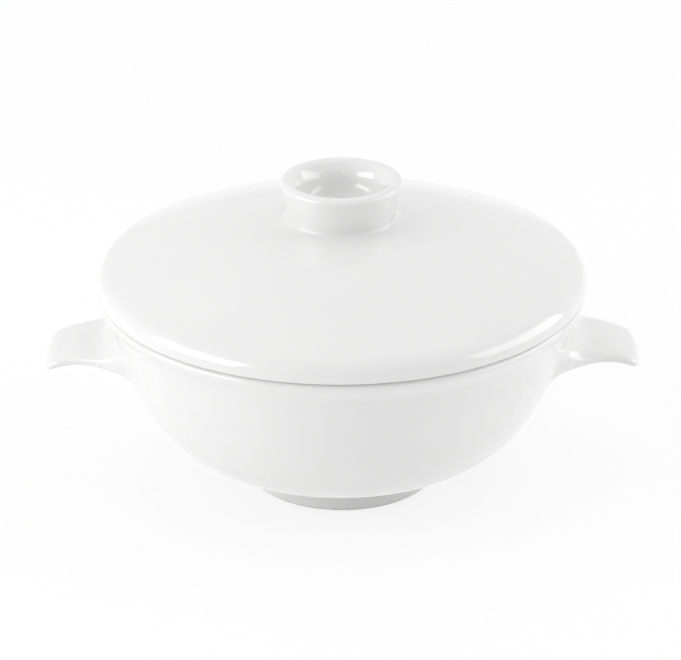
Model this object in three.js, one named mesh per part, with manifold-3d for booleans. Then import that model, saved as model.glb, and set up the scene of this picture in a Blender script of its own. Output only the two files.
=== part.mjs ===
// Lidded broth bowl in glazed porcelain: footed bowl with two lug handles, domed lid with a cupped knob.
// Millimetres, +Z up. The origin is the centre of the foot ring's standing face and the handles lie along X.
import * as THREE from "three";
import { mergeVertices } from "three/addons/utils/BufferGeometryUtils.js";
import Module from "manifold-3d";

// Bowl: outside
const rimRadius = 70; // outer radius of the lid's edge, which the lip follows
const lidOverhang = 0.4; // how far the lid's edge stands past the lip
const bowlHeight = 60.05; // standing face to the top of the lip
const lipThickness = 3.4; // height of the rolled lip
const lipStep = 3.05; // how far the lip stands out from the wall below it
const coveHeight = 2.6; // hollow blend under the lip
const wallDraft = 11.4; // degrees the wall leans out at its top
const wallReach = 43.6; // length of the wall's upper tangent, which sets how upright it stays
const bellyReach = 12.6; // length of the lower tangent, which sets how full the belly is
const bellySlope = 10; // degrees the underside climbs away from the foot

// Bowl: foot
const footHeight = 8.5; // standing face to where the belly begins
const footRadius = 27.4;
const footTaper = 0.9; // how much narrower the foot is at its neck
const footFillet = 2.2; // hollow blend between the foot and the belly
const footRingWidth = 4.6; // width of the ring at its base
const footRecess = 5.4; // depth of the hollow inside the ring
const recessFillet = 2;
const footEdgeRound = 0.9;

// Bowl: inside
const wallThickness = 4.2;
const floorThickness = 4.6; // clay between the hollow of the foot and the inside
const mouthRound = 1.3; // inner edge of the lip

// Handles
const handleHeight = 41.45; // middle of the handle where it leaves the wall
const handleReach = 22.05; // wall to tip
const handleDroop = 3.3; // how far the middle of the tip lies below the root
const handleDroopPower = 3.8; // how late along the handle the droop sets in
const handleRootWidth = 28.7; // width at the wall, without the flare
const handleTipWidth = 23.1;
const handleRootThickness = 5.2;
const handleTipThickness = 3.9;
const handleFlare = 8; // extra half width where the sides run out into the wall
const handleFlareReach = 17.2; // how far from the wall the flare begins
const handleTopBlend = 5; // height of the hollow blend above the root, where the wall has room for it
const handleUnderBlend = 2; // the same below it
const handleTopReach = 7; // how far from the wall the blend above begins
const handleUnderReach = 12; // and the one below
const handleCornerRound = 2.7; // rounding of the tip's corners, seen from above
const handleNoseRound = 1.8; // rounding of the tip's edge, seen from the side

// Lid
const lidRise = 19.7; // seat to the top of the dome
const lidEdgeHeight = 4.5; // seat to the dome's surface where it would reach the rim
const lidEdgeRound = 5.2; // roll of the dome over the edge
const lidLowerRound = 0.6;
const lidThickness = 4;
const ringDepth = 5; // locating ring below the seat
const ringThickness = 3.2;
const ringRound = 1;
const ringFillet = 3; // hollow between the ring and the dome's underside

// Knob
const knobHeight = 11.7; // dome top to knob top
const knobRimRadius = 17.4;
const knobBaseRadius = 15.4;
const knobRimWidth = 4.3; // rim with the roll of its inner edge
const knobInnerRound = 2.6; // roll of the rim into the well
const knobOuterRound = 1.6;
const knobRollLean = 40; // degrees from upright at which the roll runs into the well
const knobWellRadius = 11.7; // radius of the well half way down
const knobWellLean = 10; // degrees its wall leans out there
const knobFloorThickness = 2; // clay under the well
const knobBaseFillet = 1.9;
const knobFeather = 0.35; // thickness of the fillet where it ends on the dome

// Fits
const lidSeatGap = 0.3; // lid's seat above the lip
const lidClearance = 0.8; // locating ring inside the mouth
const luteGap = 0.3; // slip joint between a luted piece and what carries it
const handleLipGap = 0.5; // plain wall between a handle's upper blend and the hollow under the lip

// Fineness
const turns = 56; // facets round the bowl and the lid
const knobTurns = 40;

const white = 0xf3f3f1;
const degrees = Math.PI / 180;
const point = (radius, height) => new THREE.Vector2(radius, height);

function arc(centre, radius, fromAngle, toAngle, steps) {
  const clockwise = toAngle < fromAngle;
  const curve = new THREE.EllipseCurve(
    centre.x, centre.y, radius, radius, fromAngle, toAngle, clockwise,
  );
  return curve.getPoints(steps);
}

function bezier(start, startHandle, endHandle, end, steps) {
  return new THREE.CubicBezierCurve(start, startHandle, endHandle, end).getPoints(steps);
}

// Revolves a profile of radius and height, which runs up the outside and back down the inside.
function turned(profile, steps) {
  const clean = profile.filter(
    (p, i) => i === 0 || p.distanceTo(profile[i - 1]) > 0.01,
  );
  const geometry = new THREE.LatheGeometry(clean, steps);
  geometry.rotateX(Math.PI / 2);
  return geometry;
}

// Shared places on the bowl
const lipRadius = rimRadius - lidOverhang;
const lipRound = lipThickness / 2;
const wallTop = point(lipRadius - lipStep, bowlHeight - lipThickness - coveHeight);
const upWall = point(Math.sin(wallDraft * degrees), Math.cos(wallDraft * degrees));
const outBelly = point(Math.cos(bellySlope * degrees), Math.sin(bellySlope * degrees));
const neckRadius = footRadius - footTaper;
const bellyStart = point(neckRadius, footHeight).addScaledVector(outBelly, footFillet);

const wallCurve = new THREE.CubicBezierCurve(
  bellyStart,
  bellyStart.clone().addScaledVector(outBelly, bellyReach),
  wallTop.clone().addScaledVector(upWall, -wallReach),
  wallTop,
);

// The wall's outline moved outwards (or, with a minus sign, into the clay) by one distance.
function wallOffset(distance, steps) {
  const moved = [];
  for (let i = 0; i <= steps; i += 1) {
    const t = i / steps;
    const along = wallCurve.getTangent(t);
    const outward = point(along.y, -along.x);
    moved.push(wallCurve.getPoint(t).addScaledVector(outward, distance));
  }
  return moved;
}

function wallRadiusAt(height) {
  const outline = wallOffset(0, 80);
  const above = outline.findIndex((p) => p.y >= height);
  const upper = outline[Math.max(above, 1)];
  const lower = outline[Math.max(above, 1) - 1];
  const share = (height - lower.y) / (upper.y - lower.y);
  return lower.x + share * (upper.x - lower.x);
}

const innerWall = wallOffset(-wallThickness, 9);
const mouthRadius = innerWall[innerWall.length - 1].x;

function bowlOutside() {
  const ringInner = footRadius - footRingWidth;
  const footCorner = point(footRadius - footEdgeRound, footEdgeRound);
  return [
    point(0, footRecess),
    point(ringInner - recessFillet, footRecess),
    ...arc(point(ringInner - recessFillet, footRecess - recessFillet), recessFillet, Math.PI / 2, 0, 3),
    point(ringInner, footEdgeRound),
    ...arc(point(ringInner + footEdgeRound, footEdgeRound), footEdgeRound, Math.PI, 1.5 * Math.PI, 2),
    ...arc(footCorner, footEdgeRound, -Math.PI / 2, 0, 2),
    ...new THREE.QuadraticBezierCurve(
      point(neckRadius, footHeight - footFillet),
      point(neckRadius, footHeight),
      bellyStart,
    ).getPoints(3),
    ...wallOffset(0, 12),
  ];
}

function bowlProfile() {
  const beadCentre = point(lipRadius - lipRound, bowlHeight - lipRound);
  const beadUnder = arc(beadCentre, lipRound, -Math.PI / 4, Math.PI / 2, 5);
  const diagonal = point(Math.SQRT1_2, Math.SQRT1_2);
  const cove = bezier(
    wallTop,
    wallTop.clone().addScaledVector(upWall, coveHeight * 0.6),
    beadUnder[0].clone().addScaledVector(diagonal, -lipRound * 0.6),
    beadUnder[0],
    4,
  );
  const mouthEdge = arc(
    point(mouthRadius + mouthRound, bowlHeight - mouthRound), mouthRound, Math.PI / 2, Math.PI, 2,
  );
  const inside = innerWall.slice().reverse();
  const floorStart = inside[inside.length - 1];
  const floorTop = footRecess + floorThickness;
  const floorReach = floorStart.x / 3;
  const floor = bezier(
    floorStart,
    floorStart.clone().addScaledVector(outBelly, -floorReach),
    point(floorReach, floorTop),
    point(0, floorTop),
    4,
  );
  return [...bowlOutside(), ...cove, ...beadUnder, ...mouthEdge, ...inside, ...floor];
}

// Lid, in a frame whose zero is the plane of its seat
const domeRise = lidRise - lidEdgeHeight;
const domeRadius = (rimRadius ** 2 + domeRise ** 2) / (2 * domeRise);
const domeCentre = point(0, lidRise - domeRadius);

function domeAngle(radius, sphere) {
  return Math.acos(radius / sphere);
}

function lidProfile() {
  const domeTilt = Math.asin(rimRadius / domeRadius);
  const room = (lidEdgeHeight - lidLowerRound) / Math.tan((Math.PI / 2 - domeTilt) / 2);
  const roll = Math.min(lidEdgeRound, room * 0.95);
  const rollCentre = point(
    rimRadius - roll,
    domeCentre.y + Math.sqrt((domeRadius - roll) ** 2 - (rimRadius - roll) ** 2),
  );
  const rollAngle = Math.atan2(rollCentre.y - domeCentre.y, rollCentre.x);
  const ringOuter = mouthRadius - lidClearance;
  const ringInner = ringOuter - ringThickness;
  const under = domeRadius - lidThickness;
  const filletCentre = point(
    ringInner - ringFillet,
    domeCentre.y + Math.sqrt((under - ringFillet) ** 2 - (ringInner - ringFillet) ** 2),
  );
  const filletAngle = Math.atan2(filletCentre.y - domeCentre.y, filletCentre.x);
  const foot = -ringDepth + ringRound;
  return [
    ...arc(domeCentre, under, Math.PI / 2, filletAngle, 6),
    ...arc(filletCentre, ringFillet, filletAngle, 0, 3),
    ...arc(point(ringInner + ringRound, foot), ringRound, Math.PI, 1.5 * Math.PI, 2),
    ...arc(point(ringOuter - ringRound, foot), ringRound, 1.5 * Math.PI, 2 * Math.PI, 2),
    point(ringOuter, 0),
    ...arc(point(rimRadius - lidLowerRound, lidLowerRound), lidLowerRound, -Math.PI / 2, 0, 2),
    ...arc(rollCentre, roll, 0, rollAngle, 5),
    ...arc(domeCentre, domeRadius, rollAngle, Math.PI / 2, 8),
  ];
}

// Knob, in the lid's frame: its base follows the dome and its well is open upwards
function knobProfile() {
  const seat = domeRadius + luteGap;
  const baseEdge = knobBaseRadius + knobBaseFillet;
  const edgeAngle = domeAngle(baseEdge, seat);
  const edge = point(baseEdge, domeCentre.y + seat * Math.sin(edgeAngle));
  const top = lidRise + knobHeight;
  const flankFoot = point(knobBaseRadius, edge.y + knobFeather + knobBaseFillet);
  const flankTop = point(knobRimRadius, top - knobOuterRound);
  const flank = flankTop.clone().sub(flankFoot).normalize();
  const rollLean = knobRollLean * degrees;
  const wellLean = knobWellLean * degrees;
  const rollCentre = point(knobRimRadius - knobRimWidth + knobInnerRound, top - knobInnerRound);
  const wellEdge = arc(rollCentre, knobInnerRound, Math.PI / 2, Math.PI - rollLean, 4);
  const wellTop = wellEdge[wellEdge.length - 1];
  const downRoll = point(-Math.sin(rollLean), -Math.cos(rollLean));
  const downWell = point(-Math.sin(wellLean), -Math.cos(wellLean));
  const wellFloor = lidRise + luteGap + knobFloorThickness;
  const floorRound = (top - wellFloor) / 2;
  const waist = point(knobWellRadius, wellFloor + floorRound);
  return [
    ...arc(domeCentre, seat, Math.PI / 2, edgeAngle, 3),
    ...bezier(
      point(baseEdge, edge.y + knobFeather),
      point(baseEdge - knobBaseFillet * 0.6, edge.y + knobFeather),
      flankFoot.clone().addScaledVector(flank, -knobBaseFillet * 0.5),
      flankFoot,
      4,
    ),
    flankFoot.clone().lerp(flankTop, 0.5),
    ...arc(point(knobRimRadius - knobOuterRound, top - knobOuterRound), knobOuterRound, 0, Math.PI / 2, 3),
    ...wellEdge,
    ...bezier(
      wellTop,
      wellTop.clone().addScaledVector(downRoll, floorRound * 0.28),
      waist.clone().addScaledVector(downWell, -floorRound * 0.34),
      waist,
      3,
    ),
    ...bezier(
      waist,
      waist.clone().addScaledVector(downWell, floorRound * 0.55),
      point(knobWellRadius - floorRound * 0.45, wellFloor),
      point(knobWellRadius - floorRound, wellFloor),
      4,
    ),
    point(0, wellFloor),
  ];
}

// Handle towards +X, lofted through sections that lie on cylinders round the bowl's axis.
// Each blend is at its full height where it meets the wall and runs out into the handle.
const blendLimit = 1.3; // how far a blend goes on inside the wall
const topRoom = wallTop.y - handleLipGap - handleHeight - handleRootThickness / 2;
const topBlend = Math.min(handleTopBlend, topRoom / blendLimit);
const wallAtHandle = wallRadiusAt(handleHeight);
const wallAbove = wallRadiusAt(handleHeight + handleRootThickness / 2 + topBlend);
const wallBelow = wallRadiusAt(handleHeight - handleRootThickness / 2 - handleUnderBlend);
const tipRadius = wallAtHandle + handleReach;
const blend = (fromWall, reach) => Math.min(blendLimit, Math.max(0, 1 - fromWall / reach) ** 2);

function handleSection(radius) {
  const fromWall = radius - wallAtHandle;
  const along = Math.max(0, fromWall / handleReach);
  const middle = handleHeight - handleDroop * along ** handleDroopPower;
  const flare = handleFlare * blend(fromWall, handleFlareReach);
  const straight = THREE.MathUtils.lerp(handleRootWidth, handleTipWidth, along) / 2;
  const intoCorner = Math.max(0, handleCornerRound - (tipRadius - radius));
  const corner = handleCornerRound - Math.sqrt(handleCornerRound ** 2 - intoCorner ** 2);
  const half = THREE.MathUtils.lerp(handleRootThickness, handleTipThickness, along) / 2;
  const intoNose = Math.max(0, handleNoseRound - (tipRadius - radius)) / handleNoseRound;
  const nose = Math.sqrt(Math.max(0.04, 1 - intoNose ** 2));
  return {
    middle,
    width: straight + flare - corner,
    above: half * nose + topBlend * blend(radius - wallAbove, handleTopReach),
    below: half * nose + handleUnderBlend * blend(radius - wallBelow, handleUnderReach),
  };
}

function handleLoft() {
  const around = 28;
  const squareness = 2 / 3;
  const inset = 6;
  const radii = [];
  const straightEnd = tipRadius - handleCornerRound;
  for (let i = 0; i <= 14; i += 1) {
    radii.push(THREE.MathUtils.lerp(wallAtHandle - inset, straightEnd, i / 14));
  }
  for (let i = 1; i <= 6; i += 1) {
    radii.push(straightEnd + handleCornerRound * Math.sin((i / 6) * (Math.PI / 2)));
  }
  const position = [];
  for (const radius of radii) {
    const section = handleSection(radius);
    for (let i = 0; i < around; i += 1) {
      const angle = (i / around) * 2 * Math.PI;
      const across = Math.sign(Math.cos(angle)) * Math.abs(Math.cos(angle)) ** squareness;
      const up = Math.sign(Math.sin(angle)) * Math.abs(Math.sin(angle)) ** squareness;
      const turn = (across * section.width) / radius;
      const height = section.middle + up * (up > 0 ? section.above : section.below);
      position.push(radius * Math.cos(turn), radius * Math.sin(turn), height);
    }
  }
  const index = [];
  for (let ring = 0; ring < radii.length - 1; ring += 1) {
    for (let i = 0; i < around; i += 1) {
      const next = (i + 1) % around;
      const a = ring * around + i;
      const b = ring * around + next;
      const c = (ring + 1) * around + i;
      const d = (ring + 1) * around + next;
      index.push(a, b, c, b, d, c);
    }
  }
  const last = (radii.length - 1) * around;
  for (let i = 1; i < around - 1; i += 1) {
    index.push(0, i + 1, i);
    index.push(last, last + i, last + i + 1);
  }
  const geometry = new THREE.BufferGeometry();
  geometry.setAttribute("position", new THREE.Float32BufferAttribute(position, 3));
  geometry.setIndex(index);
  return geometry;
}

const wasm = await Module();
wasm.setup();

function solid(geometry) {
  const bare = geometry.clone();
  bare.deleteAttribute("normal");
  bare.deleteAttribute("uv");
  const merged = mergeVertices(bare, 1e-3);
  const corners = merged.index.array;
  const triVerts = [];
  for (let i = 0; i < corners.length; i += 3) {
    const [a, b, c] = [corners[i], corners[i + 1], corners[i + 2]];
    if (a !== b && b !== c && c !== a) triVerts.push(a, b, c);
  }
  return new wasm.Manifold(
    new wasm.Mesh({
      numProp: 3,
      vertProperties: new Float32Array(merged.attributes.position.array),
      triVerts: new Uint32Array(triVerts),
    }),
  );
}

function geometryOf(body) {
  const mesh = body.getMesh();
  const geometry = new THREE.BufferGeometry();
  geometry.setAttribute("position", new THREE.Float32BufferAttribute(mesh.vertProperties, 3));
  geometry.setIndex(new THREE.Uint32BufferAttribute(mesh.triVerts, 1));
  geometry.computeVertexNormals();
  return geometry;
}

// The space that the wall takes up, with the slip joint added, which the handle's root is cut to.
function wallSpace() {
  const outline = wallOffset(luteGap, 28);
  const bottom = outline[0];
  const top = outline[outline.length - 1];
  return solid(turned([point(0, bottom.y), ...outline, point(0, top.y)], turns));
}

const handleGeometry = geometryOf(solid(handleLoft()).subtract(wallSpace()));

function piece(name, geometry, roughness) {
  const material = new THREE.MeshStandardMaterial({ color: white, roughness, metalness: 0 });
  const mesh = new THREE.Mesh(geometry, material);
  mesh.name = name;
  return mesh;
}

const bowlGroup = new THREE.Group();
bowlGroup.add(piece("bowl", turned(bowlProfile(), turns), 0.12));
bowlGroup.add(piece("handle_right", handleGeometry, 0.12));
const leftHandle = piece("handle_left", handleGeometry.clone(), 0.12);
leftHandle.rotation.z = Math.PI;
bowlGroup.add(leftHandle);

const lidGroup = new THREE.Group();
lidGroup.position.z = bowlHeight + lidSeatGap;
lidGroup.add(piece("lid", turned(lidProfile(), turns), 0.12));
lidGroup.add(piece("knob", turned(knobProfile(), knobTurns), 0.12));

const brothBowl = new THREE.Group();
brothBowl.add(bowlGroup, lidGroup);

export default brothBowl;
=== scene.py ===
import math

import bmesh
import bpy
from mathutils import Euler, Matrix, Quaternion, Vector


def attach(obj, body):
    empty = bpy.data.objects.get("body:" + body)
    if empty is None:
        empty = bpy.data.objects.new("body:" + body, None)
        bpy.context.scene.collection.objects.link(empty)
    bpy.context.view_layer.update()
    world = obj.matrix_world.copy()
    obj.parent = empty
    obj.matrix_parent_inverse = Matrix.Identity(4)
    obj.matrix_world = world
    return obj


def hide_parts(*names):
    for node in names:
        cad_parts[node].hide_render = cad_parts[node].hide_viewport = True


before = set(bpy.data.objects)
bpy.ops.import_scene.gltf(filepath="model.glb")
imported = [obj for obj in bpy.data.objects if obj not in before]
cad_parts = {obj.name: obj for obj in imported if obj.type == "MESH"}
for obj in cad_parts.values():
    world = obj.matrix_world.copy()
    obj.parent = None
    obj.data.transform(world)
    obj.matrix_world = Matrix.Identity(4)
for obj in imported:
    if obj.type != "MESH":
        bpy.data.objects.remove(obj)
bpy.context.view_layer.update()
print("frame loaded:", ", ".join(sorted(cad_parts)))

mm = 0.001  # the pieces are given in millimetres, the studio and the camera in metres


# shared helpers

def addNode(tree, kind, x, y, **values):
    node = tree.nodes.new(kind)
    node.location = (x, y)
    for key, value in values.items():
        setattr(node, key, value)
    return node


def link(tree, source, target):
    tree.links.new(source, target)


def openGroup(name, inputs, outputs):
    tree = bpy.data.node_groups.new(name, "ShaderNodeTree")
    for label, kind in inputs:
        tree.interface.new_socket(label, in_out="INPUT", socket_type=kind)
    for label, kind in outputs:
        tree.interface.new_socket(label, in_out="OUTPUT", socket_type=kind)
    start = addNode(tree, "NodeGroupInput", -900, 0)
    end = addNode(tree, "NodeGroupOutput", 700, 0)
    return tree, start, end


# 1 for the rays that show the background: straight to the camera, in gloss and through glass
def seenRays(tree, x, y):
    ray = addNode(tree, "ShaderNodeLightPath", x, y)
    mirrored = addNode(tree, "ShaderNodeMath", x + 200, y, operation="MAXIMUM")
    seen = addNode(tree, "ShaderNodeMath", x + 400, y, operation="MAXIMUM")
    link(tree, ray.outputs["Is Glossy Ray"], mirrored.inputs[0])
    link(tree, ray.outputs["Is Transmission Ray"], mirrored.inputs[1])
    link(tree, ray.outputs["Is Camera Ray"], seen.inputs[0])
    link(tree, mirrored.outputs["Value"], seen.inputs[1])
    return seen.outputs["Value"]


def placeObject(name, data):
    item = bpy.data.objects.new(name, data)
    bpy.context.scene.collection.objects.link(item)
    return item


# clear glaze over white clay: faint drift of tone, slow ripple and a fine skin
glazeGrain = dict(
    driftDetail=3,
    driftRoughness=0.45,
    driftRange=(0.32, 0.68),  # part of the noise between the thin and the thick tone
    rippleDetail=2,
    skinDetail=2,
    skinShare=0.006,  # height of the skin beside that of the ripple
    glossRange=(0.2, 0.3),  # roughness under the coat
)


def makeGlazeGroup():
    tree, start, end = openGroup(
        "glazeSkin",
        [
            ("Vector", "NodeSocketVector"),
            ("Thin Tone", "NodeSocketColor"),
            ("Thick Tone", "NodeSocketColor"),
            ("Drift Scale", "NodeSocketFloat"),
            ("Ripple Scale", "NodeSocketFloat"),
            ("Skin Scale", "NodeSocketFloat"),
        ],
        [
            ("Color", "NodeSocketColor"),
            ("Roughness", "NodeSocketFloat"),
            ("Height", "NodeSocketFloat"),
        ],
    )
    drift = addNode(tree, "ShaderNodeTexNoise", -650, 260)
    drift.inputs["Detail"].default_value = glazeGrain["driftDetail"]
    drift.inputs["Roughness"].default_value = glazeGrain["driftRoughness"]
    spread = addNode(tree, "ShaderNodeMapRange", -430, 260)
    driftLow, driftHigh = glazeGrain["driftRange"]
    spread.inputs["From Min"].default_value = driftLow
    spread.inputs["From Max"].default_value = driftHigh
    tone = addNode(tree, "ShaderNodeMix", -200, 300, data_type="RGBA")
    ripple = addNode(tree, "ShaderNodeTexNoise", -650, -40)
    ripple.inputs["Detail"].default_value = glazeGrain["rippleDetail"]
    skin = addNode(tree, "ShaderNodeTexNoise", -650, -320)
    skin.inputs["Detail"].default_value = glazeGrain["skinDetail"]
    gloss = addNode(tree, "ShaderNodeMapRange", -200, 40)
    glossLow, glossHigh = glazeGrain["glossRange"]
    gloss.inputs["To Min"].default_value = glossLow
    gloss.inputs["To Max"].default_value = glossHigh
    finer = addNode(tree, "ShaderNodeMath", -200, -320, operation="MULTIPLY")
    finer.inputs[1].default_value = glazeGrain["skinShare"]
    height = addNode(tree, "ShaderNodeMath", 60, -160, operation="ADD")

    for noise, scale in (
        (drift, "Drift Scale"), (ripple, "Ripple Scale"), (skin, "Skin Scale"),
    ):
        link(tree, start.outputs["Vector"], noise.inputs["Vector"])
        link(tree, start.outputs[scale], noise.inputs["Scale"])
    link(tree, drift.outputs["Fac"], spread.inputs["Value"])
    link(tree, spread.outputs["Result"], tone.inputs["Factor"])
    link(tree, start.outputs["Thin Tone"], tone.inputs["A"])
    link(tree, start.outputs["Thick Tone"], tone.inputs["B"])
    link(tree, ripple.outputs["Fac"], gloss.inputs["Value"])
    link(tree, skin.outputs["Fac"], finer.inputs[0])
    link(tree, ripple.outputs["Fac"], height.inputs[0])
    link(tree, finer.outputs["Value"], height.inputs[1])
    link(tree, tone.outputs["Result"], end.inputs["Color"])
    link(tree, gloss.outputs["Result"], end.inputs["Roughness"])
    link(tree, height.outputs["Value"], end.inputs["Height"])
    return tree


# ring where the glaze was wiped off before firing: all below one height, with an uneven edge
wipedEdge = dict(
    waverScale=260,
    waverMiddle=0.5,  # the noise's own mean, taken off so that the edge stays at its height
    halfFade=0.08,
    grainScale=2600,
    grainDetail=4,
)


def makeWipedGroup():
    tree, start, end = openGroup(
        "wipedRing",
        [
            ("Vector", "NodeSocketVector"),
            ("Level", "NodeSocketFloat"),
            ("Waver", "NodeSocketFloat"),
        ],
        [("Mask", "NodeSocketFloat"), ("Grain", "NodeSocketFloat")],
    )
    parts = addNode(tree, "ShaderNodeSeparateXYZ", -650, 160)
    waver = addNode(tree, "ShaderNodeTexNoise", -650, -60)
    waver.inputs["Scale"].default_value = wipedEdge["waverScale"]
    centred = addNode(tree, "ShaderNodeMath", -430, -60, operation="SUBTRACT")
    centred.inputs[1].default_value = wipedEdge["waverMiddle"]
    shift = addNode(tree, "ShaderNodeMath", -240, -60, operation="MULTIPLY_ADD")
    depth = addNode(tree, "ShaderNodeMath", -40, 120, operation="SUBTRACT")
    edge = addNode(tree, "ShaderNodeMapRange", 160, 120, interpolation_type="SMOOTHSTEP")
    edge.inputs["From Min"].default_value = -wipedEdge["halfFade"] * mm
    edge.inputs["From Max"].default_value = wipedEdge["halfFade"] * mm
    grain = addNode(tree, "ShaderNodeTexNoise", -650, -320)
    grain.inputs["Scale"].default_value = wipedEdge["grainScale"]
    grain.inputs["Detail"].default_value = wipedEdge["grainDetail"]

    for reader in (parts, waver, grain):
        link(tree, start.outputs["Vector"], reader.inputs["Vector"])
    link(tree, waver.outputs["Fac"], centred.inputs[0])
    link(tree, centred.outputs["Value"], shift.inputs[0])
    link(tree, start.outputs["Waver"], shift.inputs[1])
    link(tree, start.outputs["Level"], shift.inputs[2])
    link(tree, shift.outputs["Value"], depth.inputs[0])
    link(tree, parts.outputs["Z"], depth.inputs[1])
    link(tree, depth.outputs["Value"], edge.inputs["Value"])
    link(tree, edge.outputs["Result"], end.inputs["Mask"])
    link(tree, grain.outputs["Fac"], end.inputs["Grain"])
    return tree


glazeSkin = makeGlazeGroup()
wipedRing = makeWipedGroup()


def makePorcelain(name, look):
    material = bpy.data.materials.new(name)
    material.use_nodes = True
    tree = material.node_tree
    tree.nodes.clear()
    place = addNode(tree, "ShaderNodeTexCoord", -1000, 0)
    glaze = addNode(tree, "ShaderNodeGroup", -750, 180, node_tree=glazeSkin)
    for label, key in (
        ("Thin Tone", "thinTone"), ("Thick Tone", "thickTone"), ("Drift Scale", "driftScale"),
        ("Ripple Scale", "rippleScale"), ("Skin Scale", "skinScale"),
    ):
        glaze.inputs[label].default_value = look[key]
    wiped = addNode(tree, "ShaderNodeGroup", -750, -220, node_tree=wipedRing)
    wiped.inputs["Level"].default_value = look["wipedLevel"] * mm
    wiped.inputs["Waver"].default_value = look["wipedWaver"] * mm
    clay = addNode(tree, "ShaderNodeMix", -450, -60, data_type="RGBA")
    clay.inputs["A"].default_value = look["clayDark"]
    clay.inputs["B"].default_value = look["clayPale"]
    colour = addNode(tree, "ShaderNodeMix", -220, 180, data_type="RGBA")
    dull = addNode(tree, "ShaderNodeMix", -220, -40)
    dull.inputs["B"].default_value = look["clayRoughness"]
    coat = addNode(tree, "ShaderNodeMath", -220, -240, operation="SUBTRACT")
    coat.inputs[0].default_value = 1  # full coat where nothing is wiped
    relief = addNode(tree, "ShaderNodeMix", -220, -440)
    bump = addNode(tree, "ShaderNodeBump", 20, -440)
    bump.inputs["Strength"].default_value = look["bumpStrength"]
    bump.inputs["Distance"].default_value = look["bumpDepth"] * mm
    shader = addNode(tree, "ShaderNodeBsdfPrincipled", 260, 120)
    shader.inputs["IOR"].default_value = look["bodyIor"]
    shader.inputs["Coat Roughness"].default_value = look["coatRoughness"]
    shader.inputs["Coat IOR"].default_value = look["coatIor"]
    out = addNode(tree, "ShaderNodeOutputMaterial", 560, 120)

    link(tree, place.outputs["Object"], glaze.inputs["Vector"])
    link(tree, place.outputs["Object"], wiped.inputs["Vector"])
    link(tree, wiped.outputs["Grain"], clay.inputs["Factor"])
    for blend in (colour, dull, relief):
        link(tree, wiped.outputs["Mask"], blend.inputs["Factor"])
    link(tree, glaze.outputs["Color"], colour.inputs["A"])
    link(tree, clay.outputs["Result"], colour.inputs["B"])
    link(tree, glaze.outputs["Roughness"], dull.inputs["A"])
    link(tree, wiped.outputs["Mask"], coat.inputs[1])
    link(tree, glaze.outputs["Height"], relief.inputs["A"])
    link(tree, wiped.outputs["Grain"], relief.inputs["B"])
    link(tree, relief.outputs["Result"], bump.inputs["Height"])
    link(tree, colour.outputs["Result"], shader.inputs["Base Color"])
    link(tree, dull.outputs["Result"], shader.inputs["Roughness"])
    link(tree, coat.outputs["Value"], shader.inputs["Coat Weight"])
    link(tree, bump.outputs["Normal"], shader.inputs["Normal"])
    link(tree, shader.outputs["BSDF"], out.inputs["Surface"])
    return material


# turning: a half outline in the XZ plane, spun once round the bowl's axis
mergeGap = 0.01


def turnOutline(outline, sides):
    bm = bmesh.new()
    # smoothing draws a ring in, so it starts wider by as much
    swell = 6 / (4 + 2 * math.cos(2 * math.pi / sides))
    line = [bm.verts.new((r * swell * mm, 0, z * mm)) for r, z in outline]
    edges = [bm.edges.new(pair) for pair in zip(line, line[1:])]
    bmesh.ops.spin(
        bm, geom=line + edges, cent=(0, 0, 0), axis=(0, 0, 1),
        angle=2 * math.pi, steps=sides, use_merge=True,
    )
    bmesh.ops.remove_doubles(bm, verts=bm.verts, dist=mergeGap * mm)
    bmesh.ops.recalc_face_normals(bm, faces=bm.faces)
    return bm


def finishPiece(name, bm, material, smoothing):
    for face in bm.faces:
        face.smooth = True
    mesh = bpy.data.meshes.new(name)
    bm.to_mesh(mesh)
    bm.free()
    mesh.materials.append(material)
    piece = placeObject(name, mesh)
    smooth = piece.modifiers.new("smooth", "SUBSURF")
    smooth.levels = smoothing
    smooth.render_levels = smoothing
    return piece


# bowl: foot, wall, lip and inside in one turning, as radius and height from the foot's hollow
bowl = dict(
    sides=72,
    smoothing=2,
    outline=[
        (0, 5.4), (4, 5.4), (11, 5.4), (17.5, 5.4), (20.6, 5.38),  # hollow of the foot
        (21.8, 5.1), (22.55, 4.4), (22.8, 3.4), (22.8, 2.0), (22.8, 0.9),
        (23.06, 0.24), (23.7, 0), (25.1, 0), (26.5, 0),  # standing face
        (27.14, 0.24), (27.4, 0.9), (27.1, 2.7), (26.8, 4.5), (26.5, 6.3),
        (26.72, 7.55), (27.44, 8.42), (28.67, 8.88), (31.04, 9.28), (33.5, 9.7),  # wall
        (36.03, 10.2), (38.61, 10.85), (41.22, 11.72), (43.83, 12.87), (46.44, 14.36),
        (49.03, 16.26), (51.57, 18.64), (54.05, 21.55), (56.44, 25.08), (58.74, 29.27),
        (60.43, 33.0), (61.68, 36.2), (62.95, 39.9), (64.14, 43.9), (65.26, 48.2),
        (65.86, 50.75), (66.29, 52.45), (66.76, 53.85), (67.37, 55.02),  # cove under the lip
        (68.05, 55.98), (68.7, 56.82), (69.23, 57.52),
        (69.55, 58.15), (69.6, 58.8), (69.3, 59.37), (68.67, 59.89), (67.9, 60.05),  # lip
        (66.0, 60.05), (63.9, 60.05), (62.86, 59.7), (62.43, 58.75), (62.43, 57.0),
        (62.4, 54.88), (60.77, 47.56), (58.96, 41.21), (57.01, 35.75), (54.97, 31.12),  # inside
        (52.86, 27.26), (50.7, 24.1), (48.53, 21.53), (46.35, 19.49), (44.16, 17.88),
        (41.96, 16.62), (39.72, 15.64), (35.12, 14.3), (30.36, 13.42), (25.5, 12.6),
        (20.5, 11.8), (14.02, 10.9), (7, 10.24), (1.8, 10), (0, 10),
    ],
)

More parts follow.
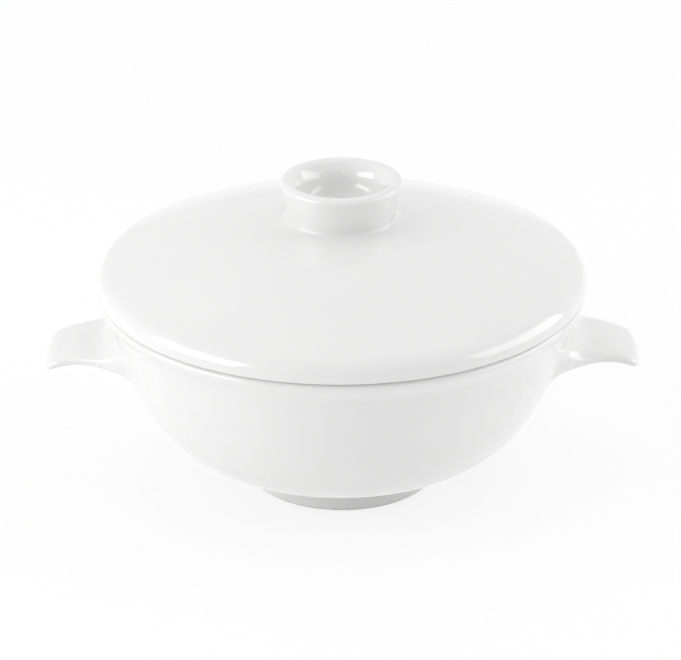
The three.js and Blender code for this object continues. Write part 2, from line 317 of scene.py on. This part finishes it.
# lug handles: drawn out of a patch of the wall, between rows of the bowl's outline
handle = dict(
    rows=[36.2, 39.9, 43.9, 48.2],
    rowLift=[-1, -1 / 3, 1 / 3, 1],  # from the under side to the top of the section
    halfTurn=20,  # degrees of wall on each side of the handle's middle
    columns=4,  # faces of the wall in that half turn
    wallInside=61.2,  # radius that tells the outside of the wall from its inside
    # section from the middle column outward: share of the half width and of the half thickness,
    # on the top, on the under side and down the side
    crown=[(0, 1), (0.265, 0.99), (0.525, 0.94), (0.77, 0.79), (0.94, 0.53)],
    belly=[(0, 1), (0.265, 1), (0.525, 0.98), (0.785, 0.89), (0.96, 0.64)],
    side=(1.003, 0.25),
    # under radius and height, top radius and height, half width along the wall's curve
    steps=[
        (63.7, 37.2, 66.5, 47.5, 20.9),
        (66.3, 37.75, 68.5, 45.1, 17.9),
        (70.0, 38.7, 71.4, 43.62, 15.4),
        (74.3, 39.0, 75.0, 43.52, 13.5),
        (78.6, 38.55, 79.0, 42.81, 12.3),
        (82.0, 37.84, 82.2, 41.72, 12.06),
        (84.1, 36.68, 84.2, 41.0, 11.7),
        (85.45, 37.24, 85.45, 39.1, 10.8),
    ],
)


def drawHandle(bm, facing):
    across = bm.verts.layers.float["across"]
    upward = bm.verts.layers.float["upward"]
    rows, columns = handle["rows"], handle["columns"]
    halfTurn = math.radians(handle["halfTurn"])

    def turnOf(p):
        return math.atan2(p.y * facing, p.x * facing)

    patch = []
    for face in bm.faces:
        middle = face.calc_center_median()
        if not rows[0] * mm < middle.z < rows[-1] * mm:
            continue
        if middle.xy.length > handle["wallInside"] * mm and abs(turnOf(middle)) < halfTurn:
            patch.append(face)
    for corner in {v for face in patch for v in face.verts}:
        row = min(range(len(rows)), key=lambda i: abs(rows[i] * mm - corner.co.z))
        corner[across] = round(columns * turnOf(corner.co) / halfTurn) / columns
        corner[upward] = handle["rowLift"][row]

    for underRadius, underHeight, topRadius, topHeight, halfWidth in handle["steps"]:
        grown = bmesh.ops.extrude_face_region(bm, geom=patch)["geom"]
        left = [face for face in patch if face.is_valid]
        bmesh.ops.delete(bm, geom=left, context="FACES")  # no wall stays inside the handle
        patch = [g for g in grown if isinstance(g, bmesh.types.BMFace)]
        for corner in {v for face in patch for v in face.verts}:
            a, b = corner[across], corner[upward]
            column = round(abs(a) * columns)
            wide, thick = handle["crown" if b > 0 else "belly"][column]
            if column == columns and abs(b) < 1:
                wide, thick = handle["side"]
                b = math.copysign(1, b)
            lift = 0.5 + 0.5 * b * thick
            radius = underRadius + (topRadius - underRadius) * lift
            height = underHeight + (topHeight - underHeight) * lift
            turn = math.copysign(wide * halfWidth, a) / radius
            corner.co = Vector((
                facing * radius * math.cos(turn) * mm,
                facing * radius * math.sin(turn) * mm,
                height * mm,
            ))


bowlLook = dict(
    thinTone=(0.845, 0.845, 0.84, 1),
    thickTone=(0.825, 0.827, 0.823, 1),
    driftScale=34,
    rippleScale=75,
    skinScale=900,
    wipedLevel=0.5,  # on the foot ring
    wipedWaver=0.5,
    clayDark=(0.60, 0.585, 0.56, 1),
    clayPale=(0.72, 0.71, 0.69, 1),
    clayRoughness=0.75,
    bumpStrength=0.06,
    bumpDepth=0.25,
    bodyIor=1.3,
    coatRoughness=0.05,
    coatIor=1.56,
)

bowlMesh = turnOutline(bowl["outline"], bowl["sides"])
bowlMesh.verts.layers.float.new("across")
bowlMesh.verts.layers.float.new("upward")
for facing in (1, -1):
    drawHandle(bowlMesh, facing)
bmesh.ops.recalc_face_normals(bowlMesh, faces=bowlMesh.faces)
bowlPiece = finishPiece(
    "bowl_with_handles", bowlMesh,
    makePorcelain("glazedPorcelainBowl", bowlLook), bowl["smoothing"],
)
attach(bowlPiece, "bowl_body")
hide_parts("bowl", "handle_left", "handle_right")
print(
    "bowl turned and handles drawn out:",
    len(bowlPiece.data.polygons), "faces before smoothing",
)


# lid: knob, dome, edge, seat and locating ring in one turning, from the well to the under side
lid = dict(
    sides=72,
    smoothing=2,
    outline=[
        (0, 82.35), (2, 82.35), (4, 82.35), (5.67, 82.35), (6.94, 82.33),  # well of the knob
        (7.99, 82.41), (9.05, 82.82), (9.92, 83.46), (10.69, 84.35), (11.38, 85.63),
        (11.7, 87.08), (12.03, 88.36), (12.7, 89.54), (13.36, 90.41), (13.91, 91.1),
        (14.6, 91.54), (15.26, 91.72), (15.93, 91.75), (16.47, 91.64), (16.96, 91.31),  # rim
        (17.28, 90.8), (17.4, 90.3), (17.2, 89.32), (16.92, 88.03), (16.46, 86.03),  # flank
        (16.03, 84.19), (15.66, 82.51), (15.45, 81.7), (15.31, 80.76), (15.9, 80.01),
        (16.69, 79.54), (17.6, 79.23), (19.1, 78.97), (20.9, 78.76), (23.6, 78.4),  # dome
        (26.9, 77.92), (32.42, 76.97), (40.62, 75.16), (48.42, 73.02), (55.33, 70.76),
        (59.86, 69.09), (63.07, 67.84), (65.28, 66.91), (67.1, 66.18), (68.08, 65.56),
        (68.95, 64.67), (69.53, 63.72), (69.84, 62.83), (69.98, 62.0), (69.98, 61.3),  # edge
        (69.95, 60.82), (69.72, 60.44), (69.2, 60.35), (68.2, 60.35), (65.5, 60.35),
        (62.8, 60.35), (61.75, 60.35), (61.63, 60.15), (61.63, 59.0), (61.63, 57.6),  # ring
        (61.61, 56.35), (61.33, 55.62), (60.63, 55.35), (59.43, 55.35), (58.72, 55.62),
        (58.43, 56.35), (58.43, 59.6), (58.43, 63.2), (58.19, 64.44), (57.49, 65.42),
        (56.3, 66.12), (53.5, 67.12), (47.6, 69.03), (38.2, 71.56), (28.8, 73.51),  # under side
        (19.2, 74.93), (9.6, 75.77), (3, 76.03), (1, 76.05), (0, 76.05),
    ],
)
lidLook = dict(
    bowlLook,
    driftScale=31,
    rippleScale=70,
    wipedLevel=55.8,  # on the end of the locating ring
    wipedWaver=0.4,
)

lidPiece = finishPiece(
    "lid_with_knob", turnOutline(lid["outline"], lid["sides"]),
    makePorcelain("glazedPorcelainLid", lidLook), lid["smoothing"],
)
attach(lidPiece, "lid_body")
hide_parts("lid", "knob")
print("lid turned:", len(lidPiece.data.polygons), "faces before smoothing")


# floor, lamps and the light of the room
studio = dict(
    floorHalf=6.0,
    floorCells=4,
    floorDrop=0.0003,  # keeps the floor off the standing face
    floorTone=(0.95, 0.95, 0.95, 1),
    floorGlow=0.8,  # share of plain white in the floor where it is seen or mirrored
    worldTone=(1, 1, 1, 1),
    scrimWay=(0, 0.35, 0.937),  # brightest part of the world, above and a little behind
    scrimReach=(-0.05, 1.0),
    scrimStrength=(0.38, 1.02),
    seenStrength=0.86,  # pale, near white, where the world is seen or mirrored
    lamps=[
        # name, place, aim, width, height, watts
        ("leftSoftbox", (-0.94, -0.36, 0.4), (0, 0, 0.05), 0.9, 0.55, 4.9),
        ("rightSoftbox", (1.0, -0.02, 0.39), (0, 0, 0.05), 1.05, 0.58, 3.5),
    ],
)


def makeFloor():
    bm = bmesh.new()
    cells = studio["floorCells"]
    bmesh.ops.create_grid(bm, x_segments=cells, y_segments=cells, size=studio["floorHalf"])
    bmesh.ops.translate(bm, verts=bm.verts, vec=(0, 0, -studio["floorDrop"]))
    mesh = bpy.data.meshes.new("floor")
    bm.to_mesh(mesh)
    bm.free()
    material = bpy.data.materials.new("paleFloor")
    material.use_nodes = True
    tree = material.node_tree
    tree.nodes.clear()
    paper = addNode(tree, "ShaderNodeBsdfDiffuse", -200, 100)
    paper.inputs["Color"].default_value = studio["floorTone"]
    white = addNode(tree, "ShaderNodeEmission", -200, -60)
    share = addNode(tree, "ShaderNodeMath", -200, 260, operation="MULTIPLY")
    share.inputs[1].default_value = studio["floorGlow"]
    mix = addNode(tree, "ShaderNodeMixShader", 60, 100)
    out = addNode(tree, "ShaderNodeOutputMaterial", 280, 100)
    link(tree, seenRays(tree, -800, 200), share.inputs[0])
    link(tree, share.outputs["Value"], mix.inputs["Fac"])
    link(tree, paper.outputs["BSDF"], mix.inputs[1])
    link(tree, white.outputs["Emission"], mix.inputs[2])
    link(tree, mix.outputs["Shader"], out.inputs["Surface"])
    mesh.materials.append(material)
    floor = placeObject("floor", mesh)


def makeLamps():
    for name, place, aim, width, height, watts in studio["lamps"]:
        lamp = bpy.data.lights.new(name, "AREA")
        lamp.shape = "RECTANGLE"
        lamp.size = width
        lamp.size_y = height
        lamp.energy = watts
        holder = placeObject(name, lamp)
        holder.location = place
        facing = Vector(aim) - Vector(place)
        holder.rotation_euler = facing.to_track_quat("-Z", "Y").to_euler()


def makeWorld():
    world = bpy.data.worlds.new("studioWorld")
    bpy.context.scene.world = world
    world.use_nodes = True
    tree = world.node_tree
    background = tree.nodes["Background"]
    background.inputs["Color"].default_value = studio["worldTone"]
    way = addNode(tree, "ShaderNodeTexCoord", -800, 0)
    along = addNode(tree, "ShaderNodeVectorMath", -600, 0, operation="DOT_PRODUCT")
    along.inputs[1].default_value = studio["scrimWay"]
    fade = addNode(tree, "ShaderNodeMapRange", -400, 0, interpolation_type="SMOOTHSTEP")
    for label, key in (("From", "scrimReach"), ("To", "scrimStrength")):
        low, high = studio[key]
        fade.inputs[label + " Min"].default_value = low
        fade.inputs[label + " Max"].default_value = high
    strength = addNode(tree, "ShaderNodeMix", -200, 100)
    strength.inputs["B"].default_value = studio["seenStrength"]
    link(tree, way.outputs["Generated"], along.inputs[0])
    link(tree, along.outputs["Value"], fade.inputs["Value"])
    link(tree, seenRays(tree, -800, 300), strength.inputs["Factor"])
    link(tree, fade.outputs["Result"], strength.inputs["A"])
    link(tree, strength.outputs["Result"], background.inputs["Strength"])


makeFloor()
makeLamps()
makeWorld()
print("floor, lamps and world set")


# camera at the photograph's angle, for a frame of 681 by 660
view = dict(
    target=(0, 0, 0.04),
    distance=0.8674,
    elevation=24.853,  # degrees
    roll=-0.0052,  # radians
    lens=158.59,
    sensorWidth=36,
    shiftX=-0.0025,
    shiftY=0.02125,
    clipStart=0.01,
)


def makeCamera():
    camera = bpy.data.cameras.new("camera")
    camera.lens = view["lens"]
    camera.sensor_width = view["sensorWidth"]
    camera.sensor_fit = "HORIZONTAL"
    camera.shift_x = view["shiftX"]
    camera.shift_y = view["shiftY"]
    camera.clip_start = view["clipStart"]
    holder = placeObject("camera", camera)
    tilt = math.radians(view["elevation"])
    out = Vector((0, -math.cos(tilt), math.sin(tilt)))
    holder.location = Vector(view["target"]) + out * view["distance"]
    level = Euler((math.pi / 2 - tilt, 0, 0)).to_quaternion()
    holder.rotation_euler = (level @ Quaternion((0, 0, 1), view["roll"])).to_euler()
    bpy.context.scene.camera = holder


makeCamera()
bpy.context.scene.view_settings.view_transform = "Standard"
print("camera set")
